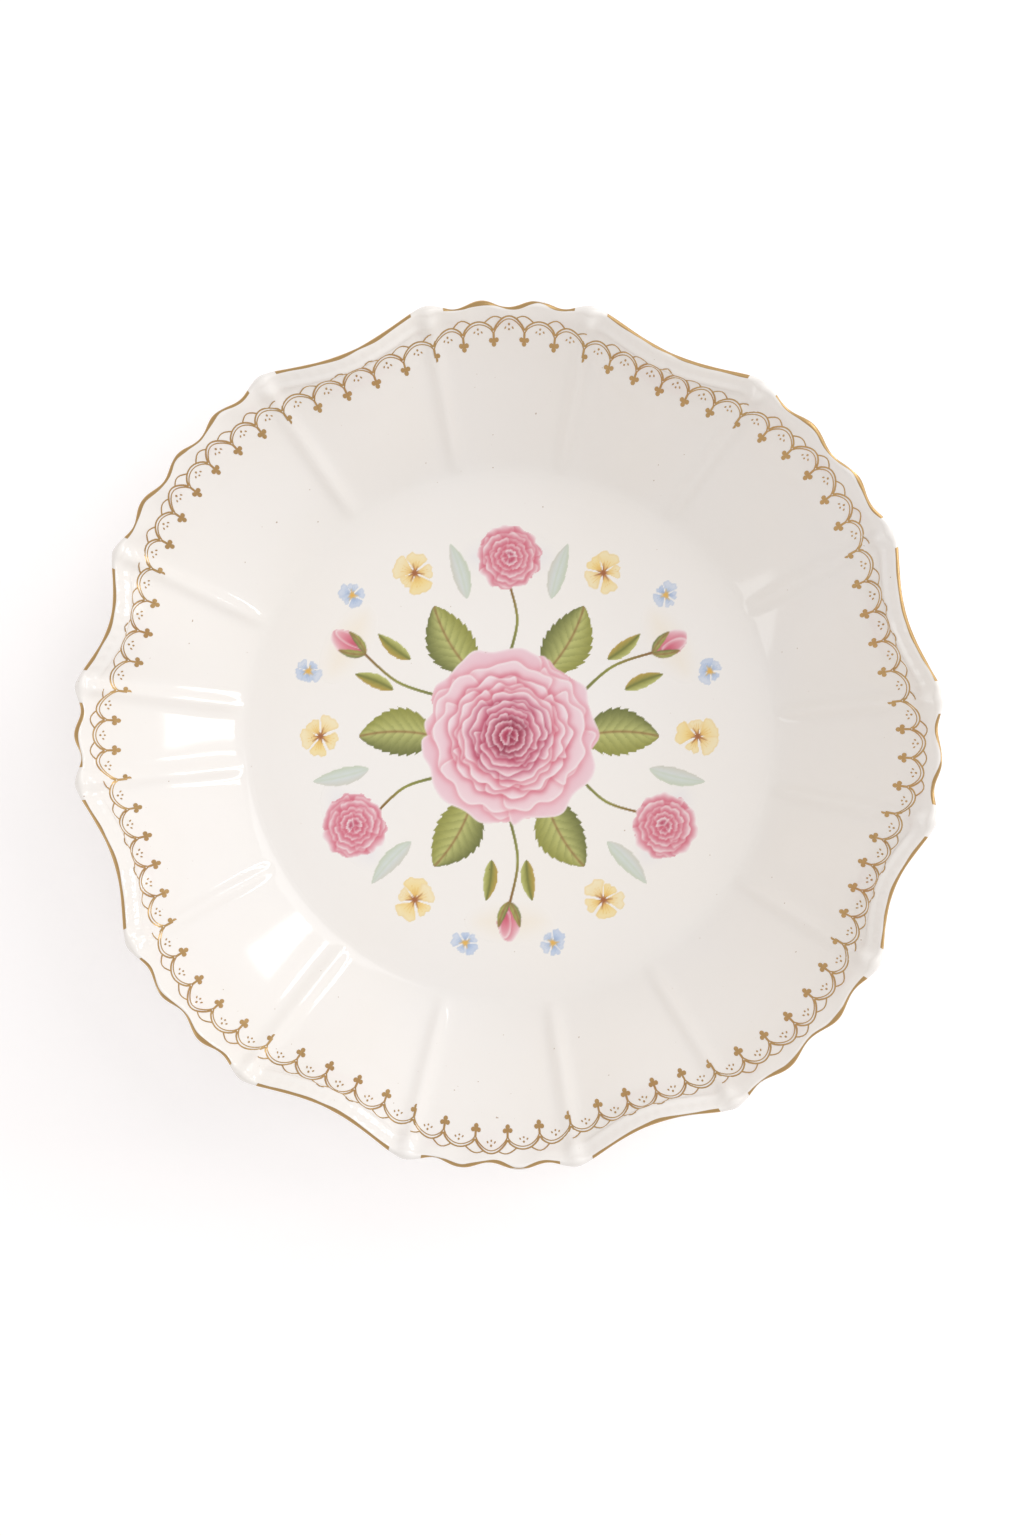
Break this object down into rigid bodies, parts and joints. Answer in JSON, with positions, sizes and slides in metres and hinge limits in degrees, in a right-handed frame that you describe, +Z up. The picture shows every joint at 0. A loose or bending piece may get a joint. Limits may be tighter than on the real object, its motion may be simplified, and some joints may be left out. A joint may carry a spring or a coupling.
{
  "type": "porcelain serving bowl",
  "caption": "Round footed serving bowl with a flat well, a fluted ribbed wall and a flared rim of swags and scallops, decorated with a gilded lace border and a flower transfer",
  "frame": {"origin": "centre of the foot ring's flat resting face", "axes": "+Z up out of the bowl's mouth; +X to the right and +Y to the top of the flower transfer as it is seen from above"},
  "size_m": [0.2607, 0.2603, 0.0521],
  "materials": {
    "porcelain": "clear glossy glaze over cream-white porcelain, bare on the ground foot",
    "gilding": "thin fired gold, rubbed to brown in places",
    "crimson_enamel": "glossy overglaze transfer, deep crimson",
    "rose_enamel": "glossy overglaze transfer, rose pink",
    "pale_pink_enamel": "glossy overglaze transfer, pale pink",
    "leaf_enamel": "glossy overglaze transfer, olive green",
    "pale_leaf_enamel": "glossy overglaze transfer, pale grey-green",
    "stem_enamel": "glossy overglaze transfer, red-brown",
    "yellow_enamel": "glossy overglaze transfer, soft yellow",
    "blue_enamel": "glossy overglaze transfer, forget-me-not blue"
  },
  "bodies": {
    "root": {"porcelain_body": "porcelain", "rim_gilding": "gilding", "gold_lace": "gilding", "rose_heart": "crimson_enamel", "rose_inner_petals": "rose_enamel", "rose_outer_petals": "pale_pink_enamel", "small_rose": "rose_enamel", "rosebud": "leaf_enamel", "blue_blossoms": "blue_enamel", "yellow_blossoms": "yellow_enamel", "rose_leaves": "leaf_enamel", "pale_leaves": "pale_leaf_enamel", "sprig": "leaf_enamel", "stems": "stem_enamel"}
  },
  "joints": []
}
